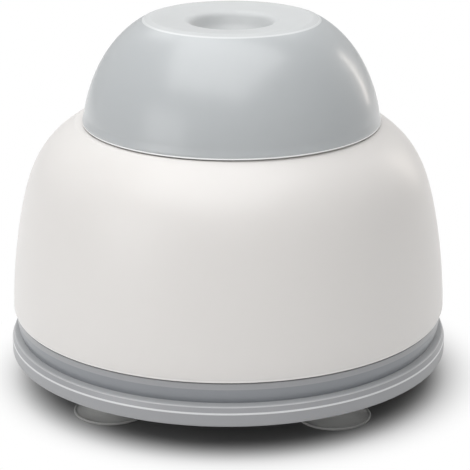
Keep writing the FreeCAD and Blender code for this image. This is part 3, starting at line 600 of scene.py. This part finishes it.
def base():
    low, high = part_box("base_plate")
    radius = (high.x - low.x) / 2
    foot = low.z
    seam = foot + BASE_HEIGHT
    floor_top = foot + BASE_FLOOR
    band_top = foot + BAND_CHAMFER + BAND_HEIGHT
    ledge = (radius - LEDGE_INSET, band_top + LEDGE_RISE)
    flare = (ledge[0] - FLARE_INSET, ledge[1] + FLARE_RISE)
    flange = radius - FLANGE_INSET
    reveal = seam - REVEAL_HEIGHT
    flange_bottom = reveal - FLANGE_HEIGHT
    cove = []
    for k in range(1, COVE_STEPS):
        share = k / COVE_STEPS
        r = flare[0] + (flange - flare[0]) * (1 - (1 - share) ** COVE_POWER)
        cove.append((r, flare[1] + (flange_bottom - flare[1]) * share, 0.0))
    register_outer = REGISTER_INNER + REGISTER_WALL
    register_top = seam + REGISTER_HEIGHT
    corners = [
        (0.0, foot, 0.0),
        (radius - 2 * BAND_CHAMFER, foot, EDGE_ROUND),
        (radius, foot + BAND_CHAMFER, EDGE_ROUND),
        (radius, band_top - EDGE_LINE, 0.0),
        (radius, band_top, EDGE_ROUND),
        (radius - EDGE_SHARE * LEDGE_INSET, band_top + EDGE_SHARE * LEDGE_RISE, 0.0),
        (ledge[0] + SOFT_EDGE_SHARE * LEDGE_INSET, ledge[1] - SOFT_EDGE_LINE, 0.0),
        (ledge[0], ledge[1], EDGE_ROUND),
        (ledge[0] - LAND_SHARE * FLARE_INSET, ledge[1] + LAND_SHARE * FLARE_RISE, 0.0),
        (flare[0], flare[1], 2 * EDGE_ROUND),
        *cove,
        (flange, flange_bottom, EDGE_ROUND),
        (flange, reveal, EDGE_ROUND),
        (flange - REVEAL_DEPTH, reveal, 0.0),
        (flange - REVEAL_DEPTH, seam, 0.0),
        (register_outer, seam, 0.0),
        (register_outer, register_top, EDGE_ROUND),
        (REGISTER_INNER, register_top, EDGE_ROUND),
        (REGISTER_INNER, floor_top, 2 * EDGE_ROUND),
        (0.0, floor_top, 0.0),
    ]
    piece = lathe("base_shell", rounded(corners))
    for x, y in screw_places():
        cut(piece, rod("sink", SCREW_HEAD_HOLE, (x, y, foot - MM), (x, y, foot + SCREW_SINK)))
        cut(piece, rod("hole", SCREW_HOLE, (x, y, foot), (x, y, floor_top + MM)))
    for x, y in around_axis(FOOT_COUNT, FOOT_TURN, FOOT_CIRCLE_RADIUS):
        cut(piece, rod("hole", FOOT_HOLE, (x, y, foot - MM), (x, y, floor_top + MM)))
    bosses = []
    rooted = floor_top - BOSS_ROOT
    seat = foot + SCREW_SINK
    boss_top = foot + SCREW_BOSS_TOP
    for place in screw_places():
        bosses.append(tube("boss", SCREW_BOSS_RADIUS, SCREW_HOLE, rooted, boss_top, place))
        bosses.append(tube("boss", SCREW_BOSS_RADIUS, SCREW_HOLE, seat, floor_top, place, 0.0))
    for place in around_axis(POST_COUNT, POST_TURN, POST_CIRCLE_RADIUS):
        bosses.append(tube("boss", POST_BOSS_RADIUS, POST_HOLE, rooted, high.z, place))
    join(piece, bosses)
    rim = BAND_REACH * radius
    land_low = ledge[1] + LAND_SHARE * FLARE_RISE
    bands = [
        # painted shade in the groove
        (GROOVE_PAINTED_SHADE, flare[1], flange_bottom - EDGE_ROUND / 2, rim),
        # painted light on the land
        (LAND_PAINTED_LIGHT, land_low, flare[1], rim),
        # painted highlight along the band's top edge
        (BAND_EDGE_PAINTED_HIGHLIGHT, band_top - EDGE_LINE, band_top + EDGE_SHARE * LEDGE_RISE, rim),
        # painted highlight along the ledge's top edge
        (LEDGE_EDGE_PAINTED_HIGHLIGHT, ledge[1] - SOFT_EDGE_LINE, land_low, rim),
    ]
    finish(piece, GREY_BASE, "base", "base_plate", bands)


def housing():
    base_low, base_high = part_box("base_plate")
    low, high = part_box("housing")
    radius = (base_high.x - base_low.x) / 2 - HOUSING_INSET
    seam = base_low.z + BASE_HEIGHT
    collar_top = high.z
    deck = collar_top - COLLAR_HEIGHT
    tall = deck - seam
    roof = deck - HOUSING_WALL
    first = TUCK_HEIGHT / tall
    outer = []
    for k in range(SIDE_STEPS + 1):
        u = first + (1 - first) * (1 - (1 - k / SIDE_STEPS) ** SIDE_SPACING)
        outer.append((housing_radius_at(u, radius), seam + u * tall, 0.0))
    inner = []
    for k in range(INNER_STEPS + 1):
        u = 1 - (k / INNER_STEPS) ** SIDE_SPACING
        r = housing_radius_at(u, radius - HOUSING_WALL)
        inner.append((r, seam + u * (tall - HOUSING_WALL), 0.0))
    foot = outer[0][0] - HOUSING_TUCK
    corners = [
        (inner[-1][0], seam, 0.0),
        (foot, seam, EDGE_ROUND),
        (foot + TUCK_SHARE * HOUSING_TUCK, seam + HOUSING_EDGE, 0.0),
        *outer,
        (COLLAR_RADIUS + COLLAR_WALL, deck, WIDE_ROUND),
        (COLLAR_RADIUS + COLLAR_WALL, collar_top, WIDE_ROUND),
        (COLLAR_RADIUS, collar_top, WIDE_ROUND),
        (COLLAR_RADIUS, roof, SOFT_ROUND),
        *inner[:-1],
    ]
    piece = lathe("housing_shell", rounded(corners))
    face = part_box("dc_inlet_body")[1].y - INLET_FLANGE
    height = INLET_HEIGHT
    outside, inside = face + INLET_CUT, face - INLET_CUT
    cut(piece, rod("pocket", INLET_POCKET_RADIUS, (0, face, height), (0, outside, height)))
    cut(piece, rod("hole", INLET_HOLE, (0, inside, height), (0, face + MM, height)))
    pad = tube("pad", INLET_PAD_RADIUS, INLET_HOLE, -INLET_PAD, 0.0, (0.0, 0.0))
    face_back(pad, (0, face, height))
    parts = [pad]
    web_low = seam + REGISTER_HEIGHT + REGISTER_GAP
    web_reach = inner[-1][0] + HOUSING_WALL / 2
    boss_top = seam + HOUSING_BOSS_TOP
    for x, y in screw_places():
        parts.append(tube("boss", HOUSING_BOSS_RADIUS, HOUSING_PILOT, low.z, boss_top, (x, y)))
        parts.append(web(x, y, web_low, boss_top, web_reach))
    join(piece, parts)
    # Painted highlight along the housing's bottom edge
    bands = [(HOUSING_EDGE_PAINTED_HIGHLIGHT, seam, seam + HOUSING_EDGE, BAND_REACH * radius)]
    finish(piece, WHITE_SHELL, "base", "housing", bands)


def web(x, y, low, high, reach):
    """Thin rib from a screw boss out to the housing's wall."""
    start = math.hypot(x, y) + WEB_START * HOUSING_BOSS_RADIUS
    middle = Matrix.Translation(((reach + start) / 2, 0, (low + high) / 2))
    turn = Matrix.Rotation(math.atan2(y, x), 4, "Z")
    return block("web", (reach - start, HOUSING_WEB, high - low), turn @ middle)


def feet():
    for cad_name in FOOT_NODES:
        low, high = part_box(cad_name)
        centre = centre_of(low, high)
        skirt = []
        for k in range(SKIRT_STEPS + 1):
            share = k / SKIRT_STEPS
            r = FOOT_RADIUS - FOOT_RIM - (FOOT_RADIUS - FOOT_RIM - FOOT_NECK_RADIUS) * share
            z = FOOT_RIM + (FOOT_NECK_HEIGHT - FOOT_RIM) * share ** FOOT_FLARE_POWER
            skirt.append((r, z, 0.0))
        cup = []
        for k in range(CUP_STEPS):
            r = (FOOT_RADIUS - FOOT_RIM) * k / CUP_STEPS
            cup.append((r, FOOT_CUP_DEPTH * math.cos(math.pi / 2 * k / CUP_STEPS), 0.0))
        collar = FOOT_HEIGHT - FOOT_COLLAR
        corners = [
            *cup,
            (FOOT_RADIUS - FOOT_RIM, 0.0, FOOT_SOLE_ROUND),
            (FOOT_RADIUS, 0.0, FOOT_RIM_ROUND),
            (FOOT_RADIUS, FOOT_RIM + FOOT_RIM_RISE, FOOT_RIM_ROUND),
            (FOOT_RADIUS - FOOT_RIM_SHARE * FOOT_RIM, FOOT_RIM + FOOT_RIM_RISE, FINE_ROUND),
            *skirt,
            (FOOT_NECK_RADIUS, collar, SOFT_ROUND),
            (FOOT_COLLAR_RADIUS, collar, SMALL_ROUND),
            (FOOT_COLLAR_RADIUS, FOOT_HEIGHT, FINE_ROUND),
            (FOOT_STEM_RADIUS, FOOT_HEIGHT, FINE_ROUND),
            (FOOT_STEM_RADIUS, FOOT_HEIGHT + BASE_FLOOR, FINE_ROUND),
            (FOOT_BUTTON_RADIUS, FOOT_HEIGHT + BASE_FLOOR, SMALL_ROUND),
            (FOOT_BUTTON_RADIUS - FOOT_RIM, high.z, WIDE_ROUND),
            (0.0, high.z, 0.0),
        ]
        name = cad_name.replace("suction_foot", "vinyl_foot")
        piece = lathe(name, rounded(corners), centre, FOOT_AROUND)
        finish(piece, CLEAR_VINYL, "base", cad_name)


def inlet():
    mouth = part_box("dc_inlet_body")[1].y
    face = mouth - INLET_FLANGE
    barrel_end = face - INLET_BARREL_LENGTH
    rear_end = barrel_end - INLET_REAR_LENGTH
    bore_end = mouth - INLET_BORE_DEPTH
    corners = [
        (INLET_PIN_RADIUS, rear_end, 0.0),
        (INLET_REAR_RADIUS, rear_end, SOFT_ROUND),
        (INLET_REAR_RADIUS, barrel_end, SMALL_ROUND),
        (INLET_BARREL_RADIUS, barrel_end, FINE_ROUND),
        (INLET_BARREL_RADIUS, face, FINE_ROUND),
        (INLET_FLANGE_RADIUS, face, FINE_ROUND),
        (INLET_FLANGE_RADIUS, mouth, INLET_FLANGE_ROUND),
        (INLET_BORE_RADIUS, mouth, SOFT_ROUND),
        (INLET_BORE_RADIUS, bore_end, SMALL_ROUND),
        (INLET_PIN_RADIUS, bore_end, 0.0),
    ]
    piece = lathe("inlet_socket", rounded(corners), (0.0, 0.0), INLET_AROUND)
    face_back(piece, (0, 0, INLET_HEIGHT))
    tab_size = (INLET_TAB_WIDTH, INLET_TAB_LENGTH + INLET_TAB_SEAT, INLET_TAB_HEIGHT)
    tab_y = rear_end - INLET_TAB_LENGTH / 2
    tabs = [
        block("tab", tab_size, Matrix.Translation((x, tab_y, INLET_HEIGHT)))
        for x in (-INLET_TAB_SPACING, INLET_TAB_SPACING)
    ]
    join(piece, tabs)
    finish(piece, BLACK_PLASTIC, "base", "dc_inlet_body")


def boot():
    """Rubber boot in two halves with a gap between them, one on the base and one on the head."""
    low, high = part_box("head_boot")
    outer = (high.x - low.x) / 2
    inner = outer - BOOT_CUFF
    web_top = high.z - BOOT_NECK
    roof = web_top - BOOT_WALL
    corners = [
        (inner, low.z, 0.0),
        (outer, low.z, SMALL_ROUND),
        (outer, web_top, FULL_ROUND),
        (BOOT_MOUTH, web_top, SMALL_ROUND),
        (BOOT_MOUTH, roof, SMALL_ROUND),
        (inner, roof, WIDE_ROUND),
    ]
    skirt = lathe("boot_skirt", rounded(corners))
    finish(skirt, BLACK_RUBBER, "base", "head_boot")
    centre = centre_of(*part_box("head_shell"))
    grip = SOCKET_OUTER + BOOT_SLACK
    flange_low = web_top + BOOT_PLAY
    corners = [
        (grip, flange_low, 0.0),
        (BOOT_FLANGE, flange_low, SMALL_ROUND),
        (BOOT_FLANGE, flange_low + BOOT_WALL, SOFT_ROUND),
        (grip + BOOT_CUFF, flange_low + BOOT_WALL, FULL_ROUND),
        (grip + BOOT_CUFF, high.z + BOOT_GRIP, SOFT_ROUND),
        (grip, high.z + BOOT_GRIP, FINE_ROUND),
    ]
    neck = lathe("boot_neck", rounded(corners), centre)
    finish(neck, BLACK_RUBBER, "head", "head_boot")


def add_coil(mesh, post, radius, bottom, free):
    """Round wire wound about an upright post, with a closed turn at each end."""
    turns = SPRING_TURNS + CLOSED_TURNS
    rings = []
    for k in range(turns * WIRE_STEPS + 1):
        turn = k / WIRE_STEPS
        closed = min(turn, 1.0) + max(0.0, turn - turns + 1)
        lift = 2 * SPRING_WIRE * CLOSED_PITCH * closed
        lift += free * min(max(turn - 1, 0.0) / SPRING_TURNS, 1.0)
        a = 2 * math.pi * turn
        ring = []
        for j in range(WIRE_SIDES):
            b = 2 * math.pi * j / WIRE_SIDES
            r = radius + SPRING_WIRE * math.cos(b)
            z = bottom + lift + SPRING_WIRE * math.sin(b)
            ring.append(mesh.verts.new((post[0] + r * math.cos(a), post[1] + r * math.sin(a), z)))
        rings.append(ring)
    for before, after in zip(rings, rings[1:]):
        for j in range(WIRE_SIDES):
            n = (j + 1) % WIRE_SIDES
            mesh.faces.new((before[j], before[n], after[n], after[j]))
    mesh.faces.new(rings[0])
    mesh.faces.new(rings[-1])


def springs():
    """Three press springs with closed end turns."""
    low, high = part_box("press_springs")
    posts = around_axis(POST_COUNT, POST_TURN, POST_CIRCLE_RADIUS)
    bottom, top = low.z + SPRING_WIRE, high.z - SPRING_WIRE
    coil_radius = high.x - max(x for x, _ in posts) - SPRING_WIRE
    free = top - bottom - 2 * CLOSED_TURNS * SPRING_WIRE * CLOSED_PITCH
    mesh = bmesh.new()
    for post in posts:
        add_coil(mesh, post, coil_radius, bottom, free)
    bmesh.ops.recalc_face_normals(mesh, faces=mesh.faces)
    piece = as_object("coil_springs", mesh, smooth=True)
    finish(piece, SPRING_STEEL, "motor_carriage", "press_springs")
    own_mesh(piece)


def head():
    low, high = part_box("head_shell")
    centre = centre_of(low, high)
    foot, crown = low.z - LIP_LOWER, high.z
    lip = (high.x - low.x) / 2
    dome = lip - LIP_PROUD
    top = crown - foot
    reach = top + DOME_OVER_CROWN
    start = DOME_START * LIP_HEIGHT
    crease = top - CROWN_DROP
    side_top = crease - CREASE_LINE
    side = []
    for k in range(DOME_STEPS + 1):
        h = start + (side_top - start) * (1 - (1 - k / DOME_STEPS) ** DOME_SPACING)
        side.append((dome_radius_at(h, dome, reach), foot + h, 0.0))
    inner = []
    for k in range(INNER_STEPS, 0, -1):
        h = (top - HEAD_WALL) * k / INNER_STEPS
        inner.append((dome_radius_at(h, dome - HEAD_WALL, reach - HEAD_WALL), foot + h, 0.0))
    edge = dome_radius_at(crease, dome, reach)
    dish_edge = crown - CROWN_DIP
    bowl_low = crown - DISH_DEPTH
    bowl_depth = dish_edge - bowl_low
    bowl = []
    for k in range(BOWL_STEPS - BOWL_RIM_STEPS, 0, -1):
        z = bowl_low + bowl_depth * (k / BOWL_STEPS) ** DISH_POWER
        bowl.append((DISH_RADIUS * k / BOWL_STEPS, z, 0.0))
    under = bowl_low - DISH_FLOOR
    socket = under - SOCKET_HEIGHT
    roof = crown - HEAD_WALL
    line_top = crown - (1 - CREASE_SHARE) * CROWN_DROP
    line_inner = edge - CREASE_SHARE * CROWN_LAND
    corners = [
        (dome - HEAD_WALL, foot, 0.0),
        (lip, foot, LIP_ROUND),
        (lip, foot + 2 * LIP_ROUND, 0.0),
        (lip, foot + LIP_SHARE * LIP_HEIGHT, 2 * LIP_ROUND),
        *side,
        (edge, foot + crease, CROWN_ROUND),
        (line_inner, line_top, 0.0),
        (edge - CROWN_LAND, crown, CROWN_BLEND),
        (DISH_RADIUS, dish_edge, DISH_ROUND),
        *bowl,
        (0.0, bowl_low, 0.0),
        (0.0, under, 0.0),
        (SOCKET_INNER, under, 0.0),
        (SOCKET_INNER, socket, SOFT_ROUND),
        (SOCKET_OUTER, socket, SOFT_ROUND),
        (SOCKET_OUTER, roof, 0.0),
        *inner,
    ]
    piece = lathe("head_dome", rounded(corners), centre)
    bands = [
        # matt crown and dish, painted lighter
        (MATT_CROWN_PAINTED_LIGHT, bowl_low - MM, crown + MM, -MM, line_inner),
        # painted highlight along the crease
        (CREASE_PAINTED_HIGHLIGHT, foot + side_top, line_top, line_inner),
        # painted highlight along the lip's bottom edge
        (LIP_EDGE_PAINTED_HIGHLIGHT, foot, foot + 2 * LIP_ROUND, BAND_REACH * lip),
    ]
    finish(piece, GREY_HEAD, "head", "head_shell", bands)


def camera():
    data = bpy.data.cameras.new("photo_camera")
    data.sensor_width = SENSOR_MM
    data.lens = FOCAL_PIXELS / FRAME_PIXELS * SENSOR_MM
    data.clip_start = NEAREST_SEEN
    eye = place_in_scene(bpy.data.objects.new("photo_camera", data))
    eye.location = (0.0, -CAMERA_BACK, CAMERA_HEIGHT)
    yaw = math.atan((FRAME_PIXELS / 2 - AXIS_PIXEL) / FOCAL_PIXELS)
    eye.rotation_euler = (math.radians(90 - CAMERA_PITCH), 0.0, -yaw)
    bpy.context.scene.camera = eye


def lamp(name, place, aim, width, depth, watts, colour=(1.0, 1.0, 1.0)):
    data = bpy.data.lights.new(name, "AREA")
    data.shape = "RECTANGLE"
    data.size = width
    data.size_y = depth
    data.energy = watts
    data.color = colour
    made = place_in_scene(bpy.data.objects.new(name, data))
    made.location = place
    made.rotation_euler = (Vector(aim) - Vector(place)).to_track_quat("-Z", "Y").to_euler()


def studio():
    lamp("top_softbox", (-0.11, -0.22, 0.97), aim=(0, 0, 0.04), width=1.2, depth=1.2, watts=13.6)
    lamp("left_softbox", (-0.80, -0.60, 0.27), aim=(0, 0, 0.03), width=0.6, depth=0.4, watts=1.6)
    lamp("back_softbox", (-0.05, 0.60, 0.75), aim=(0, 0, 0.08), width=0.9, depth=0.4, watts=2.2)
    lamp("right_strip", (0.43, 0.40, 0.17), aim=(0, 0, 0.07), width=0.045, depth=0.26, watts=0.28,
         colour=WARM_LIGHT)
    world = bpy.data.worlds.new("studio")
    bpy.context.scene.world = world
    world.use_nodes = True
    tree = world.node_tree
    light = tree.nodes["Background"]
    light.inputs["Color"].default_value = (1.0, 1.0, 1.0, 1.0)
    rays = node(tree, "ShaderNodeLightPath")
    glossy = node(tree, "ShaderNodeMath", operation="MULTIPLY")
    glossy.inputs[1].default_value = GLOSSY_SHARE
    seen = node(tree, "ShaderNodeMath", operation="MAXIMUM")
    seen_through = node(tree, "ShaderNodeMath", operation="MAXIMUM")
    level = remap(tree, 0.0, 1.0, WORLD_LEVEL, 1.0)
    link = tree.links.new
    link(rays.outputs["Is Glossy Ray"], glossy.inputs[0])
    link(rays.outputs["Is Camera Ray"], seen.inputs[0])
    link(glossy.outputs[0], seen.inputs[1])
    link(seen.outputs[0], seen_through.inputs[0])
    link(rays.outputs["Is Transmission Ray"], seen_through.inputs[1])
    link(seen_through.outputs[0], level.inputs["Value"])
    link(level.outputs["Result"], light.inputs["Strength"])


def floor():
    """Floor with a painted shadow: dark under the object, fading to pale further out, where the
    camera sees white.
    """
    mesh = bmesh.new()
    bmesh.ops.create_circle(mesh, cap_ends=True, radius=FLOOR_RADIUS, segments=FLOOR_AROUND)
    piece = as_object("floor", mesh)
    made = bpy.data.materials.new("floor_white_painted_shadow")
    made.use_nodes = True
    tree = made.node_tree
    tree.nodes.clear()
    link = tree.links.new
    out = node(tree, "ShaderNodeOutputMaterial")
    paint = node(tree, "ShaderNodeBsdfDiffuse")
    glow = node(tree, "ShaderNodeEmission")
    rays = node(tree, "ShaderNodeLightPath")
    place = node(tree, "ShaderNodeTexCoord")
    shifted = node(tree, "ShaderNodeVectorMath", operation="SUBTRACT")
    shifted.inputs[1].default_value = SHADOW_SHIFT
    away = node(tree, "ShaderNodeVectorMath", operation="LENGTH")
    # Painted shadow: the floor's colour darkens towards the object
    painted_shadow = remap(tree, PAINTED_SHADOW_RADIUS, PAINTED_SHADOW_FADE_RADIUS, PAINTED_SHADOW_DARKEST, FLOOR_PALE,
                 interpolation_type="SMOOTHSTEP")
    fade = remap(tree, FLOOR_GLOW_START, FLOOR_GLOW_END, 0.0, 1.0, interpolation_type="SMOOTHSTEP")
    share = node(tree, "ShaderNodeMath", operation="MULTIPLY")
    blend = node(tree, "ShaderNodeMixShader")
    link(place.outputs["Object"], shifted.inputs[0])
    link(shifted.outputs["Vector"], away.inputs[0])
    link(away.outputs["Value"], painted_shadow.inputs["Value"])
    link(painted_shadow.outputs["Result"], paint.inputs["Color"])
    link(away.outputs["Value"], fade.inputs["Value"])
    link(fade.outputs["Result"], share.inputs[0])
    link(rays.outputs["Is Camera Ray"], share.inputs[1])
    link(share.outputs[0], blend.inputs["Fac"])
    link(paint.outputs["BSDF"], blend.inputs[1])
    link(glow.outputs["Emission"], blend.inputs[2])
    link(blend.outputs["Shader"], out.inputs["Surface"])
    piece.data.materials.append(made)


bpy.context.scene.view_settings.view_transform = "Standard"
camera()
for look, names in NODE_LOOKS.items():
    for cad_name in names:
        dress(cad_name, look)
base()
housing()
feet()
inlet()
boot()
springs()
head()
studio()
floor()

bpy.context.view_layer.update()
